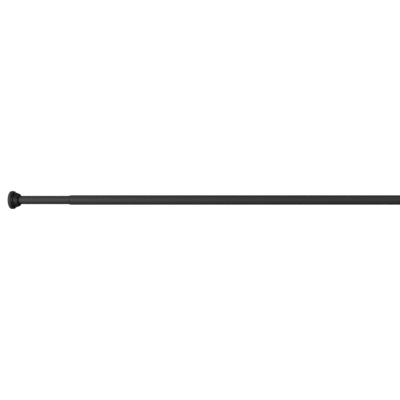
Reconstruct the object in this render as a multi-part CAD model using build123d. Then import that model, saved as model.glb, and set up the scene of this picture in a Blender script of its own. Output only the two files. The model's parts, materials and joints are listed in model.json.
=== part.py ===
from build123d import *

import os

# Telescoping door security bar, in millimetres.
#
# A narrow tube slides in a wide one, and each outer end carries a cap with a round rubber
# foot. Inside, an eccentric roller on a screw spindle jams in the wide tube. Turning the
# narrow tube then drives its nut along the spindle, so the feet press on two jambs, and
# the cap on the narrow tube stays still because it swivels.
#
# Frame: the origin is the centre of the fixed foot's contact face, and +X points out of
# that face. The bar lies on the X axis and runs along -X to the swivel foot. +Z is up.

# ---- Driving dimensions ------------------------------------------------------------

OUTER_TUBE_OD = 25.4
OUTER_TUBE_WALL = 0.8
OUTER_TUBE_LENGTH = 1035.0
INNER_TUBE_OD = 22.2
INNER_TUBE_WALL = 0.9
INNER_TUBE_LENGTH = 920.0
EXPOSED_LENGTH = 134.0  # inner tube between the swivel cap's mouth and the outer tube
PULL_OUT = 590.0  # how far the inner tube still slides out from this pose
TUBE_EDGE_ROUND = 0.3

FOOT_RADIUS = 23.8
FOOT_DEPTH = 8.6  # contact face to the back of the rubber band
CAP_DEPTH = 22.0  # contact face to the mouth of the collar
COLLAR_RADIUS = 19.4
MOUTH_RADIUS = 16.2
FIXED_SCREW_RADIUS = 2.6  # where the screw passes through the cap
SWIVEL_SCREW_RADIUS = 3.5

SCREW_TRAVEL = 40.0
THREAD_PITCH = 4.0
THREAD_ROOT_RADIUS = 4.6
THREAD_CREST_RADIUS = 6.0
THREAD_CLEARANCE = 0.25
ECCENTRICITY = 1.2  # spindle axis to roller journal axis
JOURNAL_RADIUS = 4.0
ROLLER_RADIUS = 11.1
O_RING_RADIUS = 11.2
PIN_RADIUS = 1.5
CAM_SCREW_RADIUS = 1.6

SLIDING_GAP = 0.15
RUNNING_GAP = 0.1
STOP_GAP = 0.3  # what is left between two stops that meet at the end of a travel

# ---- Sizes that follow -------------------------------------------------------------

outer_tube_radius = OUTER_TUBE_OD / 2
outer_bore_radius = outer_tube_radius - OUTER_TUBE_WALL
inner_tube_radius = INNER_TUBE_OD / 2
inner_bore_radius = inner_tube_radius - INNER_TUBE_WALL

# Depths behind a contact face, the same at both ends.
plate_front = 3.4  # the cap's plate, gripped in the rubber foot
plate_back = 6.8
plate_radius = 21.6
neck_radius = 20.4
head_seat = 5.4  # where the cap screw's head bears on the plate
cavity_floor = 7.4
washer_front = cavity_floor + 0.05
washer_back = washer_front + 0.8
plug_front = washer_back + 0.05
tube_end = plug_front + 2.0

# Places along X.
outer_tube_right = -tube_end
outer_tube_left = outer_tube_right - OUTER_TUBE_LENGTH
swivel_face = outer_tube_left - EXPOSED_LENGTH - CAP_DEPTH
inner_tube_left = swivel_face + tube_end
inner_tube_right = inner_tube_left + INNER_TUBE_LENGTH

mouth_sleeve_right = outer_tube_left + 18.0
bushing_left = mouth_sleeve_right + PULL_OUT + SCREW_TRAVEL + STOP_GAP

# Places along X of the nut, screw and roller.
nut_left = inner_tube_right - 30.0
nut_thread_left = inner_tube_right - 15.5
nut_flange_right = inner_tube_right + 2.5
pin_x = inner_tube_right - 22.0
stop_washer_right = nut_left - SCREW_TRAVEL - STOP_GAP
stop_washer_left = stop_washer_right - 1.2
clip_left = stop_washer_left - 1.2
spindle_left = clip_left - 2.0
thread_left = stop_washer_right + 2.0
spindle_flange_left = nut_flange_right + STOP_GAP
spindle_flange_right = spindle_flange_left + 3.0
journal_right = spindle_flange_right + 16.4
roller_left = spindle_flange_right + 0.2
roller_right = journal_right - 0.2
cam_washer_right = journal_right + 1.0
cam_hole_left = journal_right - 12.0

# Radii shared by two pieces that meet.
pin_foot, pin_head = 7.8, 11.0
clip_groove_radius = 3.8
o_ring_section = 1.4
o_ring_centre = O_RING_RADIUS - o_ring_section


# ---- Helpers -----------------------------------------------------------------------


def turned(*corners):
    """A solid turned about the X axis. A corner is (x, radius) or (x, radius, rounding)."""
    points = [corner[:2] for corner in corners]
    rounding = [corner[2] if len(corner) > 2 else 0 for corner in corners]
    if any(rounding):
        outline = FilletPolyline(*points, radius=rounding, close=True)
    else:
        outline = Polyline(*points, close=True)
    return revolve(make_face(outline.edges()), Axis.X)


def ring(x_low, x_high, bore, radius, rounding=0):
    """A plain ring, such as a tube or a washer, with its outer edges rounded."""
    return turned(
        (x_low, bore), (x_low, radius, rounding), (x_high, radius, rounding), (x_high, bore)
    )


def turned_behind(*corners):
    """As turned, with depths behind the fixed foot's contact face in place of x."""
    return turned(*[(-corner[0], *corner[1:]) for corner in corners])


def rod(x_low, x_high, radius, z=0.0):
    """A plain rod along X, its axis z above the bar's."""
    length = x_high - x_low
    return Pos((x_low + x_high) / 2, 0, z) * Rot(0, 90, 0) * Cylinder(radius, length)


def cross_recess(x_face, direction, z=0.0):
    """The cross slot of a screw head, sunk from x_face along direction, 1 or -1."""
    length, width, depth = 4.4, 1.0, 1.1
    centre = Pos(x_face + direction * depth / 2, 0, z)
    return centre * (Box(depth, length, width) + Box(depth, width, length))


def thread_ridge(x_left, x_right, clearance=0.0):
    """A right-hand trapezoidal ridge wound about X, grown all round by clearance."""
    root_width, crest_width = 2.2, 1.0
    buried = 0.3  # the ridge starts inside its core, so the two join cleanly
    root = THREAD_ROOT_RADIUS + clearance
    crest = THREAD_CREST_RADIUS + clearance
    flank = (root_width - crest_width) / 2 / (crest - root)
    half_base = root_width / 2 + flank * buried + clearance
    half_crest = crest_width / 2 + clearance
    outline = Polyline(
        (root - buried, 0, -half_base),
        (root - buried, 0, half_base),
        (crest, 0, half_crest),
        (crest, 0, -half_crest),
        close=True,
    )
    helix = Helix(THREAD_PITCH, x_right - x_left, crest)
    ridge = sweep(make_face(outline.edges()), path=helix, is_frenet=True)
    return Pos(x_left, 0, 0) * Rot(0, 90, 0) * ridge


# ---- Foot parts, made for the fixed end --------------------------------------------


def rubber_foot():
    """A rubber boot with a ringed contact face, snapped over the cap's plate."""
    lip_radius = neck_radius + 0.1
    boot = turned_behind(
        (0, 0),
        (0, FOOT_RADIUS, 2.3),
        (FOOT_DEPTH, FOOT_RADIUS, 1.6),
        (FOOT_DEPTH, lip_radius, 0.4),
        (plate_back, lip_radius),
        (plate_back, plate_radius),
        (plate_front, plate_radius),
        (plate_front, 0),
    )
    groove_depth, groove_width = 1.0, 1.4
    first_groove, groove_step, groove_count = 7.6, 3.2, 5
    for index in range(groove_count):
        middle = first_groove + index * groove_step
        inner, outer = middle - groove_width / 2, middle + groove_width / 2
        boot -= ring(-groove_depth, 1.0, inner, outer)
    return boot


def end_cap(tube_radius, rib_gap, screw_radius):
    """The moulded cap: plate, shoulder, narrow waist and hollow collar, with ribs that
    centre the tube."""
    shoulder_end, shoulder_radius = 11.2, 19.8
    waist_start, waist_radius, collar_front = 11.5, 16.8, 13.6
    cavity_radius, head_bore = 14.3, 5.6
    screw_bore = screw_radius + RUNNING_GAP
    cap = turned_behind(
        (plate_front, head_bore),
        (plate_front, plate_radius, 0.3),
        (plate_back, plate_radius, 0.3),
        (plate_back, neck_radius),
        (FOOT_DEPTH, neck_radius, 0.8),
        (shoulder_end, shoulder_radius, 0.4),
        (waist_start, waist_radius, 0.3),
        (collar_front, waist_radius, 0.3),
        (collar_front, COLLAR_RADIUS, 0.5),
        (CAP_DEPTH, MOUTH_RADIUS, 0.8),
        (CAP_DEPTH, cavity_radius, 0.6),
        (cavity_floor, cavity_radius),
        (cavity_floor, screw_bore),
        (head_seat, screw_bore),
        (head_seat, head_bore),
    )
    rib_count, rib_width = 8, 1.4
    rib_front, rib_back = tube_end - 0.8, 16.0
    rib_foot, rib_head = tube_radius + rib_gap, cavity_radius + 0.4
    rib = Pos(-(rib_front + rib_back) / 2, 0, (rib_foot + rib_head) / 2) * Box(
        rib_back - rib_front, rib_width, rib_head - rib_foot
    )
    for index in range(rib_count):
        cap += Rot(index * 360 / rib_count, 0, 0) * rib
    return cap


def cap_screw(plain_radius):
    """The screw through the cap: plain in the cap, with a thinner shank in the plug."""
    head_radius, shank_radius = 5.0, 2.0
    head_front, head_back, shank_back = plate_front + 0.1, head_seat - 0.05, 27.0
    screw = turned_behind(
        (head_front, 0),
        (head_front, head_radius, 0.7),
        (head_back, head_radius, 0.2),
        (head_back, plain_radius),
        (plug_front, plain_radius),
        (plug_front, shank_radius),
        (shank_back, shank_radius, 0.6),
        (shank_back, 0),
    )
    return screw - cross_recess(-head_front, -1)


def cap_washer(screw_radius):
    """The washer between the cap's floor and the tube plug."""
    return ring(-washer_back, -washer_front, screw_radius + 0.15, 9.0, 0.2)


def tube_plug(tube_radius, bore_radius):
    """A flanged plug pressed in a tube's end, barbed outside, with a boss for the screw."""
    plug_back, boss_back, pilot_back = 36.0, 31.0, 29.0
    pocket_front, boss_radius, pilot_radius = 13.0, 4.6, 2.0
    barb_width, barb_gap, barb_count, barb_depth = 3.6, 3.0, 4, 0.5
    wall = 2.2
    plug = turned_behind(
        (plug_front, pilot_radius),
        (plug_front, tube_radius - 0.1, 0.4),
        (tube_end, tube_radius - 0.1),
        (tube_end, bore_radius),
        (plug_back, bore_radius, 0.8),
        (plug_back, bore_radius - wall, 0.4),
        (pocket_front, bore_radius - wall, 0.6),
        (pocket_front, boss_radius, 0.6),
        (boss_back, boss_radius, 0.4),
        (boss_back, 0),
        (pilot_back, 0),
        (pilot_back, pilot_radius),
    )
    for index in range(barb_count - 1):
        front = tube_end + barb_width + index * (barb_width + barb_gap)
        plug -= ring(-front - barb_gap, -front, bore_radius - barb_depth, bore_radius + 1)
    return plug


def at_swivel_end(shape):
    """Turns a part made for the fixed end round to the swivel end."""
    return Pos(swivel_face, 0, 0) * Rot(0, 0, 180) * shape


# ---- Tubes and guides --------------------------------------------------------------


def outer_tube():
    return turned(
        (outer_tube_left, outer_bore_radius, TUBE_EDGE_ROUND),
        (outer_tube_left, outer_tube_radius, TUBE_EDGE_ROUND),
        (outer_tube_right, outer_tube_radius, TUBE_EDGE_ROUND),
        (outer_tube_right, outer_bore_radius, TUBE_EDGE_ROUND),
    )


def mouth_ring():
    """The liner in the outer tube's mouth, with a tapered lip that shows."""
    lip, lip_radius, lip_wall = 4.8, 12.5, 0.4
    bore = inner_tube_radius + SLIDING_GAP
    return turned(
        (outer_tube_left - lip, bore, 0.1),
        (outer_tube_left - lip, bore + lip_wall, 0.2),
        (outer_tube_left - 0.8, lip_radius, 0.4),
        (outer_tube_left, lip_radius),
        (outer_tube_left, outer_bore_radius),
        (mouth_sleeve_right, outer_bore_radius),
        (mouth_sleeve_right, bore),
    )


def radial_pins(head):
    """Two pins, opposite each other, through the inner tube and into the nut plug."""
    pin = Pos(pin_x, 0, (pin_foot + head) / 2) * Cylinder(PIN_RADIUS, head - pin_foot)
    return Compound(children=[pin, Rot(180, 0, 0) * pin])


def pin_holes():
    return radial_pins(inner_tube_radius + 1)


def inner_tube():
    tube = turned(
        (inner_tube_left, inner_bore_radius, TUBE_EDGE_ROUND),
        (inner_tube_left, inner_tube_radius, TUBE_EDGE_ROUND),
        (inner_tube_right, inner_tube_radius, TUBE_EDGE_ROUND),
        (inner_tube_right, inner_bore_radius, TUBE_EDGE_ROUND),
    )
    return tube - pin_holes()


def guide_bushing():
    """A split sleeve clipped on the hidden part of the inner tube. It steadies the tube,
    and it meets the mouth ring when the bar is pulled right out."""
    length, slit = 16.0, 1.2
    radius = outer_bore_radius - RUNNING_GAP
    sleeve = ring(bushing_left, bushing_left + length, inner_tube_radius, radius, 0.3)
    cut = Pos(bushing_left + length / 2, inner_tube_radius, 0) * Box(length + 2, 4.0, slit)
    return sleeve - cut


# ---- Screw and roller --------------------------------------------------------------


def nut_plug():
    """The nut pressed and pinned in the inner tube, with a true internal thread."""
    relief_radius, flange_radius = 7.0, 11.7
    bore = THREAD_ROOT_RADIUS + THREAD_CLEARANCE
    blank = turned(
        (nut_left, relief_radius),
        (nut_left, inner_bore_radius, 0.5),
        (inner_tube_right, inner_bore_radius),
        (inner_tube_right, flange_radius),
        (nut_flange_right, flange_radius, 0.4),
        (nut_flange_right, bore),
        (nut_thread_left, bore),
        (nut_thread_left, relief_radius),
    )
    groove = thread_ridge(thread_left, nut_flange_right + 8.0, THREAD_CLEARANCE)
    return blank - groove - pin_holes()


def spindle():
    """The screw spindle: thread, stop groove, flange, and the off-centre roller journal."""
    flange_radius = 8.5
    core = turned(
        (spindle_left, 0),
        (spindle_left, THREAD_ROOT_RADIUS, 0.7),
        (clip_left, THREAD_ROOT_RADIUS),
        (clip_left, clip_groove_radius),
        (stop_washer_left, clip_groove_radius),
        (stop_washer_left, THREAD_ROOT_RADIUS),
        (spindle_flange_left, THREAD_ROOT_RADIUS),
        (spindle_flange_left, flange_radius, 0.4),
        (spindle_flange_right, flange_radius, 0.4),
        (spindle_flange_right, 0),
    )
    ridge = thread_ridge(thread_left, spindle_flange_left)
    journal = rod(spindle_flange_right - 1, journal_right, JOURNAL_RADIUS, ECCENTRICITY)
    hole = rod(cam_hole_left, journal_right + 1, CAM_SCREW_RADIUS, ECCENTRICITY)
    return core + ridge + journal - hole


def spindle_stop_washer():
    """The stop that keeps the nut from leaving the spindle."""
    bore = THREAD_ROOT_RADIUS + 0.05
    return ring(stop_washer_left, stop_washer_right, bore, 8.6, 0.2)


def spindle_clip():
    """An open retaining clip in the spindle's groove."""
    opening, outer, thickness = 5.6, 7.2, stop_washer_left - clip_left
    clip = ring(clip_left, stop_washer_left, clip_groove_radius, outer)
    return clip - Pos(clip_left, 0, -outer / 2) * Box(3 * thickness, opening, outer)


def cam_roller():
    """The roller, round about the bar's axis and bored off centre for the journal."""
    middle = (roller_left + roller_right) / 2
    groove_left, groove_right = middle - o_ring_section - 0.2, middle + o_ring_section + 0.2
    groove_floor = o_ring_centre - o_ring_section
    roller = turned(
        (roller_left, 0),
        (roller_left, ROLLER_RADIUS, 0.8),
        (groove_left, ROLLER_RADIUS, 0.2),
        (groove_left, groove_floor),
        (groove_right, groove_floor),
        (groove_right, ROLLER_RADIUS, 0.2),
        (roller_right, ROLLER_RADIUS, 0.8),
        (roller_right, 0),
    )
    bore_radius = JOURNAL_RADIUS + RUNNING_GAP
    return roller - rod(roller_left - 1, roller_right + 1, bore_radius, ECCENTRICITY)


def cam_o_ring():
    middle = (roller_left + roller_right) / 2
    return Pos(middle, 0, 0) * Rot(0, 90, 0) * Torus(o_ring_centre, o_ring_section)


def cam_washer():
    washer = ring(journal_right, cam_washer_right, CAM_SCREW_RADIUS, 7.0, 0.2)
    return Pos(0, 0, ECCENTRICITY) * washer


def cam_screw():
    head_radius, shank_left = 3.2, cam_hole_left + 0.5
    head_right = cam_washer_right + 2.0
    screw = turned(
        (shank_left, 0),
        (shank_left, CAM_SCREW_RADIUS, 0.4),
        (cam_washer_right, CAM_SCREW_RADIUS),
        (cam_washer_right, head_radius, 0.2),
        (head_right, head_radius, 0.8),
        (head_right, 0),
    )
    screw -= cross_recess(head_right, -1)
    return Pos(0, 0, ECCENTRICITY) * screw


# ---- The parts ---------------------------------------------------------------------

fixed_end = {
    "fixed_rubber_foot": rubber_foot(),
    "fixed_end_cap": end_cap(outer_tube_radius, 0, FIXED_SCREW_RADIUS),
    "fixed_cap_screw": cap_screw(FIXED_SCREW_RADIUS),
    "fixed_cap_washer": cap_washer(FIXED_SCREW_RADIUS),
    "fixed_tube_plug": tube_plug(outer_tube_radius, outer_bore_radius),
}
swivel_end = {
    "swivel_rubber_foot": rubber_foot(),
    "swivel_end_cap": end_cap(inner_tube_radius, SLIDING_GAP, SWIVEL_SCREW_RADIUS),
    "swivel_cap_screw": cap_screw(SWIVEL_SCREW_RADIUS),
    "swivel_cap_washer": cap_washer(SWIVEL_SCREW_RADIUS),
    "swivel_tube_plug": tube_plug(inner_tube_radius, inner_bore_radius),
}
tubes = {
    "outer_tube": outer_tube(),
    "mouth_ring": mouth_ring(),
    "inner_tube": inner_tube(),
    "guide_bushing": guide_bushing(),
    "nut_plug": nut_plug(),
    "nut_plug_pins": radial_pins(pin_head),
}
spindle_parts = {
    "spindle": spindle(),
    "spindle_stop_washer": spindle_stop_washer(),
    "spindle_clip": spindle_clip(),
    "cam_roller": cam_roller(),
    "cam_o_ring": cam_o_ring(),
    "cam_washer": cam_washer(),
    "cam_screw": cam_screw(),
}
turned_round = {name: at_swivel_end(shape) for name, shape in swivel_end.items()}

os.makedirs("parts", exist_ok=True)
for name, shape in {**fixed_end, **turned_round, **tubes, **spindle_parts}.items():
    export_step(shape, f"parts/{name}.step")
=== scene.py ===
import json
import math

import bmesh
import bpy
from mathutils import Matrix, Vector


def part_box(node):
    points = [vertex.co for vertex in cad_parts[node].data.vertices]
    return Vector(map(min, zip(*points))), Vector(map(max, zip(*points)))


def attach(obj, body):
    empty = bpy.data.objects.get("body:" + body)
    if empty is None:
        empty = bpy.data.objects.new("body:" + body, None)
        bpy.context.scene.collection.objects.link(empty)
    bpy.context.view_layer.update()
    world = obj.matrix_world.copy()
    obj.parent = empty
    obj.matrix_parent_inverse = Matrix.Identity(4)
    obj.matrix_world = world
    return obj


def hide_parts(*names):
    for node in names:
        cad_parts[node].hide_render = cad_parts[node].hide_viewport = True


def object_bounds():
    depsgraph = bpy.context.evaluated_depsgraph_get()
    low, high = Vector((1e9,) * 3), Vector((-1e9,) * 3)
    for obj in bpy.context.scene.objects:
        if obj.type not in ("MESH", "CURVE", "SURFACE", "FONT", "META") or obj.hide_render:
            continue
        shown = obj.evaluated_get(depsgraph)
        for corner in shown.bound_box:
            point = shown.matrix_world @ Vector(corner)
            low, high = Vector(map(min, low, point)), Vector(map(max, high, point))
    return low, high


# A telescoping door security bar: two coated tubes, a moulded ring at the step between
# them, and an end cap with a rubber foot at each end. The bar lies along X, and its fixed
# foot's contact face is at the origin. Lengths are in metres. Names that end in _MM and the
# numbers of the profiles (tube, mouth_ring, rubber_foot and end_cap) are in millimetres.

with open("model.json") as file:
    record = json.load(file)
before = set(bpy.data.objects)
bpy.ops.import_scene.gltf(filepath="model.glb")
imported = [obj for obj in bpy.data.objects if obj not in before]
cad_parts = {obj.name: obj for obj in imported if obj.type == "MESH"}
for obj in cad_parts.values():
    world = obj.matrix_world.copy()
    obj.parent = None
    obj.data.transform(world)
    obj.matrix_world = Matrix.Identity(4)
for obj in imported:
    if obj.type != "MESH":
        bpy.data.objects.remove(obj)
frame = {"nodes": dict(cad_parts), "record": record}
cad_low, cad_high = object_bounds()

MM = 0.001
ON_AXIS = 1e-7
MIDDLE_X = -0.6
ROUND_STEPS = 6
TUBE_SEGMENTS = 128
FOOT_SEGMENTS = 160


def added(name, data):
    """A new object in the scene."""
    thing = bpy.data.objects.new(name, data)
    bpy.context.scene.collection.objects.link(thing)
    return thing


# ---- Camera, light and stage -------------------------------------------------------


def make_camera():
    """Looks square at the bar from a little above, with the swivel foot on the left."""
    beyond_left_foot, distance, elevation = 0.4918, 1.12, math.radians(10)
    data = bpy.data.cameras.new("camera")
    data.sensor_width = 36.0
    data.lens = 38.7
    camera = added("camera", data)
    target = Vector((cad_low.x + beyond_left_foot, 0, 0))
    away = Vector((0, -math.cos(elevation), math.sin(elevation)))
    camera.location = target + away * distance
    camera.rotation_euler = (-away).to_track_quat("-Z", "Y").to_euler()
    bpy.context.scene.camera = camera


def softbox(name, place, target, size, power):
    data = bpy.data.lights.new(name, "AREA")
    data.shape = "RECTANGLE"
    data.size, data.size_y = size
    data.energy = power
    light = added(name, data)
    light.location = place
    light.rotation_euler = (Vector(target) - Vector(place)).to_track_quat("-Z", "Y").to_euler()


def make_lights():
    """A large key at the front left, a weak fill, a soft back light, and one for each end."""
    middle = (MIDDLE_X, 0, 0)
    softbox("key", (-2.2, -1.8, 0.45), (-0.85, 0, 0), (1.1, 1.1), 39.0)
    softbox("fill", (-0.4, -2.4, 0.4), middle, (1.4, 1.0), 9.0)
    softbox("back", (-0.6, 2.2, 0.0), middle, (2.4, 0.6), 8.0)
    softbox("left_end", (-2.1, 0.35, 0.45), (-1.2, 0, 0), (0.5, 0.5), 5.0)
    softbox("right_end", (0.9, -0.35, 0.45), (0, 0, 0), (0.5, 0.5), 5.0)
    world = bpy.data.worlds.new("world")
    bpy.context.scene.world = world
    world.use_nodes = True
    background = world.node_tree.nodes["Background"]
    background.inputs["Color"].default_value = (1.0, 1.0, 1.0, 1.0)
    background.inputs["Strength"].default_value = 0.06


def glowing(name, colour, strength):
    """A surface that gives off enough light to look white."""
    material = bpy.data.materials.new(name)
    material.use_nodes = True
    shader = material.node_tree.nodes["Principled BSDF"]
    shader.inputs["Base Color"].default_value = (*colour, 1.0)
    shader.inputs["Roughness"].default_value = 0.9
    shader.inputs["Emission Color"].default_value = (1.0, 1.0, 1.0, 1.0)
    shader.inputs["Emission Strength"].default_value = strength
    return material


def make_stage():
    """A pale floor well below the bar, which is held by its ends, and a white dome."""
    floor_drop, floor_size, dome_radius = 1.6, 40.0, 25.0
    bpy.ops.mesh.primitive_plane_add(size=floor_size, location=(MIDDLE_X, 0, -floor_drop))
    floor = bpy.context.object
    floor.name = "floor"
    floor.data.materials.append(glowing("floor_pale", (0.85, 0.85, 0.85), 1.0))
    bpy.ops.mesh.primitive_uv_sphere_add(segments=48, ring_count=24, radius=dome_radius)
    dome = bpy.context.object
    dome.name = "dome"
    dome.data.materials.append(glowing("dome_white", (0.0, 0.0, 0.0), 1.02))
    for piece in (floor, dome):
        piece.visible_diffuse = False
        piece.visible_glossy = False
        piece.visible_shadow = False


# ---- Mesh work ---------------------------------------------------------------------


def rounded(corners):
    """The points of a closed outline from corners (x, radius, rounding) in millimetres. A
    corner given as (x, radius) stays sharp."""
    points = []
    for index, corner in enumerate(corners):
        here = Vector(corner[:2])
        rounding = corner[2] if len(corner) > 2 else 0
        if not rounding:
            points.append(here * MM)
            continue
        back = (Vector(corners[index - 1][:2]) - here).normalized()
        ahead = (Vector(corners[(index + 1) % len(corners)][:2]) - here).normalized()
        half = math.acos(max(-1.0, min(1.0, back.dot(ahead)))) / 2
        centre = here + (back + ahead).normalized() * (rounding / math.sin(half))
        arm = here + back * (rounding / math.tan(half)) - centre
        way = 1 if back.x * ahead.y - back.y * ahead.x < 0 else -1
        for step in range(ROUND_STEPS + 1):
            turn = Matrix.Rotation(way * (math.pi - 2 * half) * step / ROUND_STEPS, 2)
            points.append((centre + turn @ arm) * MM)
    return points


def with_loops(points, longest):
    """The same outline, with points added so that no span is longer than longest."""
    filled = []
    for here, ahead in zip(points, points[1:] + points[:1]):
        pieces = max(1, math.ceil((ahead - here).length / longest))
        filled += [here.lerp(ahead, part / pieces) for part in range(pieces)]
    return filled


def lathe(name, points, segments):
    """A closed mesh turned about X from a closed outline of (x, radius) points."""
    vertices, rings = [], []
    for x, radius in points:
        spokes = 1 if radius < ON_AXIS else segments
        rings.append([len(vertices) + spoke for spoke in range(spokes)])
        for spoke in range(spokes):
            angle = 2 * math.pi * spoke / segments
            vertices.append((x, radius * math.cos(angle), radius * math.sin(angle)))
    faces = []
    for here, ahead in zip(rings, rings[1:] + rings[:1]):
        if len(here) == len(ahead) == 1:
            continue
        for spoke in range(segments):
            after = (spoke + 1) % segments
            loop = [here[spoke % len(here)], here[after % len(here)]]
            loop += [ahead[after % len(ahead)], ahead[spoke % len(ahead)]]
            faces.append(list(dict.fromkeys(loop)))
    mesh = bpy.data.meshes.new(name)
    mesh.from_pydata(vertices, [], faces)
    face_outwards(mesh)
    return added(name, mesh)


def face_outwards(mesh):
    work = bmesh.new()
    work.from_mesh(mesh)
    bmesh.ops.recalc_face_normals(work, faces=work.faces)
    work.to_mesh(mesh)
    work.free()


def from_bmesh(name, work):
    mesh = bpy.data.meshes.new(name)
    work.to_mesh(mesh)
    work.free()
    return added(name, mesh)


def combined(piece, cutter, operation):
    """Joins cutter to piece, or cuts it away, and removes cutter."""
    boolean = piece.modifiers.new("boolean", "BOOLEAN")
    boolean.object, boolean.operation, boolean.solver = cutter, operation, "EXACT"
    evaluated = piece.evaluated_get(bpy.context.evaluated_depsgraph_get())
    mesh = bpy.data.meshes.new_from_object(evaluated)
    piece.modifiers.clear()
    piece.data = mesh
    bpy.data.objects.remove(cutter)


def smooth(piece, sharp_degrees=35):
    """Smooth shading that keeps flats flat and leaves hard corners hard."""
    piece.data.shade_smooth()
    piece.data.set_sharp_from_angle(angle=math.radians(sharp_degrees))
    weighted = piece.modifiers.new("weighted_normals", "WEIGHTED_NORMAL")
    weighted.keep_sharp = True


def boxes(name, blocks):
    """One mesh of closed blocks, each (centre, size, turn about X)."""
    work = bmesh.new()
    for centre, size, turn in blocks:
        place = Matrix.Rotation(turn, 4, "X") @ Matrix.Translation(centre)
        bmesh.ops.create_cube(work, size=1.0, matrix=place @ Matrix.Diagonal((*size, 1.0)))
    return from_bmesh(name, work)


# ---- Materials ---------------------------------------------------------------------

# Where the Mix node keeps its sockets for colours.
MIX_FACTOR, MIX_LOW, MIX_HIGH, MIX_RESULT = 0, 6, 7, 2


class Shader:
    """A principled material, with short ways to add and join its nodes."""

    def __init__(self, name):
        self.material = bpy.data.materials.new(name)
        self.material.use_nodes = True
        self.nodes = self.material.node_tree.nodes
        self.links = self.material.node_tree.links
        self.principled = self.nodes["Principled BSDF"]
        self.place = self.add("ShaderNodeTexCoord").outputs["Object"]

    def add(self, kind, inputs=None, **settings):
        node = self.nodes.new(kind)
        for key, value in settings.items():
            setattr(node, key, value)
        for key, value in (inputs or {}).items():
            self.feed(node.inputs[key], value)
        return node

    def feed(self, socket, value):
        if isinstance(value, bpy.types.NodeSocket):
            self.links.new(value, socket)
        else:
            socket.default_value = value

    def set(self, **values):
        """Sets the shader's own sockets. An underscore stands for a space."""
        for key, value in values.items():
            self.feed(self.principled.inputs[key.replace("_", " ")], value)

    def noise(self, scale, detail=2.0, stretch=(1, 1, 1)):
        """Noise with about scale features to the metre, drawn out where stretch is small."""
        place = self.add("ShaderNodeMapping", {"Vector": self.place, "Scale": stretch})
        inputs = {"Vector": place.outputs[0], "Scale": scale, "Detail": detail}
        return self.add("ShaderNodeTexNoise", inputs).outputs["Fac"]

    def between(self, fac, low, high, from_low=0.0, from_high=1.0):
        """fac from from_low to from_high, turned into a number from low to high."""
        inputs = {"Value": fac, "From Min": from_low, "From Max": from_high}
        inputs.update({"To Min": low, "To Max": high})
        return self.add("ShaderNodeMapRange", inputs).outputs["Result"]

    def mix(self, fac, low, high):
        """A colour between two linear colours, or between a colour and a socket's."""
        node = self.add("ShaderNodeMix", data_type="RGBA")
        self.feed(node.inputs[MIX_FACTOR], fac)
        for socket, value in ((MIX_LOW, low), (MIX_HIGH, high)):
            colour = (*value, 1.0) if isinstance(value, tuple) else value
            self.feed(node.inputs[socket], colour)
        return node.outputs[MIX_RESULT]

    def bump(self, *layers):
        """Adds up bumps, each (height socket, depth in metres)."""
        normal = None
        for height, depth in layers:
            inputs = {"Height": height, "Distance": depth, "Strength": 1.0}
            if normal is not None:
                inputs["Normal"] = normal
            normal = self.add("ShaderNodeBump", inputs).outputs["Normal"]
        self.feed(self.principled.inputs["Normal"], normal)


def powder_coat():
    """Satin black powder coat: orange peel, fine grain and faint lengthwise rub marks."""
    shader = Shader("tube_powder_coat")
    cloud = shader.noise(9.0, detail=3.0)
    grain = shader.noise(2200.0)
    peel = shader.noise(760.0)
    rubs = shader.noise(26.0, detail=3.0, stretch=(0.12, 22.0, 22.0))
    rubbed = shader.between(rubs, 0, 1, from_low=0.62, from_high=0.78)
    speckled = shader.between(grain, 0, 1, from_low=0.48, from_high=0.72)
    coat = shader.mix(cloud, (0.0300, 0.0300, 0.0295), (0.0360, 0.0360, 0.0353))
    coat = shader.mix(speckled, coat, (0.058, 0.058, 0.057))
    shader.set(Base_Color=shader.mix(shader.between(rubbed, 0, 0.18), coat, (0.07, 0.07, 0.068)))
    shader.set(Roughness=shader.between(rubbed, 0.66, 0.56))
    shader.bump((peel, 0.00014), (grain, 0.00002))
    return shader.material


def moulded_black():
    """Moulded black plastic with a fine spark texture."""
    shader = Shader("cap_moulded_black")
    cloud = shader.noise(60.0)
    spark = shader.noise(1900.0, detail=3.0)
    shader.set(Base_Color=shader.mix(cloud, (0.019, 0.019, 0.019), (0.026, 0.026, 0.0262)))
    shader.set(Roughness=shader.between(cloud, 0.40, 0.52))
    shader.bump((spark, 0.00009))
    return shader.material


def ring_black():
    """Black nylon of the mouth ring, as dull as the tubes beside it."""
    shader = Shader("ring_black_nylon")
    cloud = shader.noise(140.0)
    shader.set(Base_Color=shader.mix(cloud, (0.014, 0.014, 0.014), (0.020, 0.020, 0.0202)))
    shader.set(Roughness=shader.between(cloud, 0.62, 0.74))
    shader.bump((shader.noise(1500.0), 0.00006))
    return shader.material


def foot_rubber():
    """Matte black rubber with a slight pale bloom."""
    shader = Shader("foot_rubber")
    bloom = shader.noise(70.0, detail=4.0)
    grain = shader.noise(2400.0, detail=3.0)
    bloomed = shader.between(bloom, 0, 1, from_low=0.35, from_high=0.75)
    rubber = shader.mix(bloomed, (0.022, 0.022, 0.0222), (0.041, 0.041, 0.0412))
    shader.set(Base_Color=shader.mix(shader.between(grain, 0, 0.3), rubber, (0.05, 0.05, 0.05)))
    shader.set(Roughness=shader.between(bloom, 0.62, 0.78))
    shader.bump((grain, 0.00003), (shader.noise(500.0), 0.00010))
    return shader.material


def seal_rubber():
    """Black nitrile of the O-ring, with a faint shine from its grease."""
    shader = Shader("o_ring_rubber")
    grease = shader.noise(300.0, detail=3.0)
    shader.set(Base_Color=shader.mix(grease, (0.012, 0.012, 0.012), (0.020, 0.020, 0.020)))
    shader.set(Roughness=shader.between(grease, 0.30, 0.55))
    shader.bump((shader.noise(2500.0), 0.00001))
    return shader.material


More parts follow.
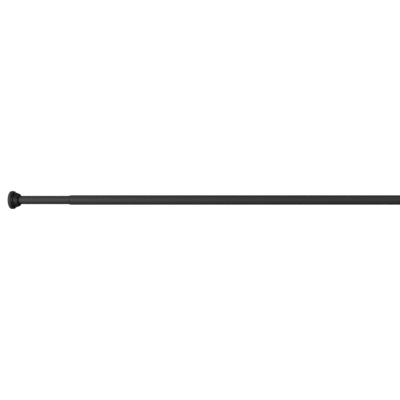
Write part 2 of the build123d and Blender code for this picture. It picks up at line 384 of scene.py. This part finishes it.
def grey_nylon():
    """Dark grey glass-filled nylon, with flow streaks along the bar."""
    shader = Shader("plug_grey_nylon")
    streaks = shader.noise(160.0, detail=4.0, stretch=(0.25, 1, 1))
    shader.set(Base_Color=shader.mix(streaks, (0.050, 0.051, 0.054), (0.085, 0.086, 0.090)))
    shader.set(Roughness=shader.between(streaks, 0.45, 0.62))
    shader.bump((shader.noise(1800.0, detail=3.0), 0.00002))
    return shader.material


def white_acetal():
    """Natural acetal: a waxy off-white with a little light let in."""
    shader = Shader("roller_white_acetal")
    cloud = shader.noise(180.0, detail=3.0)
    shader.set(Base_Color=shader.mix(cloud, (0.66, 0.65, 0.60), (0.74, 0.73, 0.69)))
    shader.set(Roughness=shader.between(cloud, 0.30, 0.42))
    shader.set(Subsurface_Weight=0.15, Subsurface_Scale=0.002)
    shader.bump((shader.noise(1200.0), 0.00001))
    return shader.material


def zinc_plate():
    """Zinc-plated turned steel, with fine turning lines round the bar's axis."""
    shader = Shader("zinc_plated_steel")
    tint = shader.noise(90.0, detail=3.0)
    inputs = {"Vector": shader.place, "Scale": 700.0, "Distortion": 1.5, "Detail": 2.0}
    inputs["Detail Scale"] = 3.0
    lines = shader.add("ShaderNodeTexWave", inputs, bands_direction="X").outputs["Fac"]
    shader.set(Base_Color=shader.mix(tint, (0.52, 0.53, 0.55), (0.64, 0.62, 0.56)))
    shader.set(Metallic=1.0, Roughness=shader.between(tint, 0.26, 0.40))
    shader.bump((lines, 0.000008))
    return shader.material


def paint_all():
    """Gives every CAD node the material of its slot."""
    materials = {
        "tube_coat": powder_coat(),
        "cap_plastic": moulded_black(),
        "foot_rubber": foot_rubber(),
        "ring_plastic": ring_black(),
        "plug_plastic": grey_nylon(),
        "roller_plastic": white_acetal(),
        "seal_rubber": seal_rubber(),
        "plated_steel": zinc_plate(),
    }
    for subpart in frame["record"]["subparts"]:
        node = frame["nodes"][subpart["node"]]
        node.data.materials.clear()
        node.data.materials.append(materials[subpart["material_slot"]])
        smooth(node, sharp_degrees=30)


# ---- The bar's visible pieces ------------------------------------------------------

OUTER_WALL_MM = 0.8
INNER_WALL_MM = 0.9
TUBE_EDGE_MM = 0.35
LOOP_LENGTH = 0.02

FOOT_RADIUS_MM = 23.8
FOOT_DEPTH_MM = 8.6
PLATE_FRONT_MM, PLATE_BACK_MM = 3.4, 6.8
PLATE_RADIUS_MM, NECK_RADIUS_MM = 21.6, 20.4
CAP_DEPTH_MM = 22.0


def finished(piece, node, body):
    """Paints a piece as the CAD node that it stands for, and lets it ride on a body."""
    piece.data.materials.clear()
    piece.data.materials.append(frame["nodes"][node].data.materials[0])
    smooth(piece)
    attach(piece, body)
    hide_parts(node)


def tube(node, wall):
    """A drawn tube with rolled ends, as long and as wide as its CAD node."""
    low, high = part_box(node)
    left, right, radius = low.x / MM, high.x / MM, high.z / MM
    outline = rounded(
        [
            (left, radius - wall, TUBE_EDGE_MM),
            (left, radius, TUBE_EDGE_MM),
            (right, radius, TUBE_EDGE_MM),
            (right, radius - wall, TUBE_EDGE_MM),
        ]
    )
    return lathe(f"{node}_coated", with_loops(outline, LOOP_LENGTH), TUBE_SEGMENTS)


def pin_cutter():
    """A rod as wide as the pins through the inner tube, and longer, so it cuts through."""
    longer = 1.2
    low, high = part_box("nut_plug_pins")
    radius = (high.x - low.x) / 2
    work = bmesh.new()
    bmesh.ops.create_cone(
        work,
        cap_ends=True,
        segments=48,
        radius1=radius,
        radius2=radius,
        depth=(high.z - low.z) * longer,
        matrix=Matrix.Translation(((low.x + high.x) / 2, 0, 0)),
    )
    return from_bmesh("pin_cutter", work)


def mouth_ring():
    """The ring in the outer tube's mouth: a hidden liner and a tapered lip."""
    bore_gap, lip_wall, lip_band = 0.15, 0.4, 0.8
    lead_in_length, lead_in_drop = 0.6, 0.25
    low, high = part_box("mouth_ring")
    left, right, lip_radius = low.x / MM, high.x / MM, high.z / MM
    tube_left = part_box("outer_tube")[0].x / MM
    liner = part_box("outer_tube")[1].z / MM - OUTER_WALL_MM
    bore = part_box("inner_tube")[1].z / MM + bore_gap
    outline = rounded(
        [
            (left, bore, 0.1),
            (left, bore + lip_wall, 0.2),
            (tube_left - lip_band, lip_radius, 0.5),
            (tube_left, lip_radius),
            (tube_left, liner),
            (right - lead_in_length, liner, 0.4),
            (right, liner - lead_in_drop, 0.1),
            (right, bore, 0.15),
        ]
    )
    return lathe("mouth_ring_moulded", with_loops(outline, LOOP_LENGTH), TUBE_SEGMENTS)


def rubber_foot(name):
    """A rubber boot with grip rings on its contact face and a faint mould line."""
    groove_depth, groove_width, groove_step = 1.0, 1.4, 3.2
    groove_count, first_groove = 5, 7.6
    land_edge, groove_edge = 0.25, 0.3
    front_edge, back_edge = 2.2, 1.6
    mould_line, mould_width, mould_height, neck_gap = 5.0, 0.35, 0.1, 0.1
    band, lip = FOOT_RADIUS_MM - mould_height, NECK_RADIUS_MM + neck_gap
    corners = [(0, 0)]
    for index in range(groove_count):
        inner = first_groove + index * groove_step - groove_width / 2
        outer = inner + groove_width
        corners += [(0, inner, land_edge), (-groove_depth, inner, groove_edge)]
        corners += [(-groove_depth, outer, groove_edge), (0, outer, land_edge)]
    corners += [
        (0, band, front_edge),
        (mould_width - mould_line, band),
        (-mould_line, FOOT_RADIUS_MM, 0.06),
        (-mould_width - mould_line, band),
        (-FOOT_DEPTH_MM, band, back_edge),
        (-FOOT_DEPTH_MM, lip, 0.4),
        (-PLATE_BACK_MM, lip),
        (-PLATE_BACK_MM, PLATE_RADIUS_MM),
        (-PLATE_FRONT_MM, PLATE_RADIUS_MM),
        (-PLATE_FRONT_MM, 0),
    ]
    return lathe(name, rounded(corners), FOOT_SEGMENTS)


def end_cap(name, tube_radius, rib_gap, screw_radius):
    """The cap: plate, shoulder, narrow waist and hollow collar, with ribs that centre the
    tube."""
    shoulder_end, shoulder_radius = 11.2, 19.8
    waist_start, waist_end, waist_radius = 11.5, 13.6, 16.8
    collar_radius, mouth_radius = 19.4, 16.2
    cavity_radius, cavity_floor = 14.3, 7.4
    head_seat, head_bore, screw_gap = 5.4, 5.6, 0.1
    screw_bore = screw_radius + screw_gap
    corners = [
        (-PLATE_FRONT_MM, head_bore, 0.2),
        (-PLATE_FRONT_MM, PLATE_RADIUS_MM, 0.3),
        (-PLATE_BACK_MM, PLATE_RADIUS_MM, 0.3),
        (-PLATE_BACK_MM, NECK_RADIUS_MM),
        (-FOOT_DEPTH_MM, NECK_RADIUS_MM, 0.8),
        (-shoulder_end, shoulder_radius, 0.4),
        (-waist_start, waist_radius, 0.3),
        (-waist_end, waist_radius, 0.3),
        (-waist_end, collar_radius, 0.5),
        (-CAP_DEPTH_MM, mouth_radius, 0.8),
        (-CAP_DEPTH_MM, cavity_radius, 0.6),
        (-cavity_floor, cavity_radius, 0.5),
        (-cavity_floor, screw_bore, 0.15),
        (-head_seat, screw_bore, 0.15),
        (-head_seat, head_bore),
    ]
    cap = lathe(name, rounded(corners), FOOT_SEGMENTS)
    rib_count, rib_width, rib_front, rib_back, buried = 8, 1.4, 9.5, 16.0, 0.4
    rib_foot, rib_head = tube_radius + rib_gap, cavity_radius + buried
    centre = Vector((-(rib_front + rib_back) / 2, 0, (rib_foot + rib_head) / 2)) * MM
    size = Vector((rib_back - rib_front, rib_width, rib_head - rib_foot)) * MM
    turns = [index * 2 * math.pi / rib_count for index in range(rib_count)]
    ribs = boxes("ribs", [(centre, size, turn) for turn in turns])
    combined(cap, ribs, "UNION")
    return cap


def at_swivel_end(piece):
    """Turns a piece made for the fixed end round to the swivel end."""
    place = Matrix.Translation((cad_low.x, 0, 0)) @ Matrix.Rotation(math.pi, 4, "Z")
    piece.data.transform(place)
    return piece


def make_bar():
    finished(tube("outer_tube", OUTER_WALL_MM), "outer_tube", "outer_body")
    inner = tube("inner_tube", INNER_WALL_MM)
    combined(inner, pin_cutter(), "DIFFERENCE")
    finished(inner, "inner_tube", "inner_body")
    finished(mouth_ring(), "mouth_ring", "outer_body")

    outer_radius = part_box("outer_tube")[1].z / MM
    inner_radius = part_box("inner_tube")[1].z / MM
    foot = rubber_foot("fixed_rubber_foot_moulded")
    finished(foot, "fixed_rubber_foot", "outer_body")
    cap = end_cap("fixed_end_cap_moulded", outer_radius, rib_gap=0.0, screw_radius=2.6)
    finished(cap, "fixed_end_cap", "outer_body")
    foot = rubber_foot("swivel_rubber_foot_moulded")
    finished(at_swivel_end(foot), "swivel_rubber_foot", "swivel_foot")
    cap = end_cap("swivel_end_cap_moulded", inner_radius, rib_gap=0.15, screw_radius=3.5)
    finished(at_swivel_end(cap), "swivel_end_cap", "swivel_foot")


make_camera()
make_lights()
make_stage()
paint_all()
make_bar()

bpy.context.scene.view_settings.view_transform = "Standard"
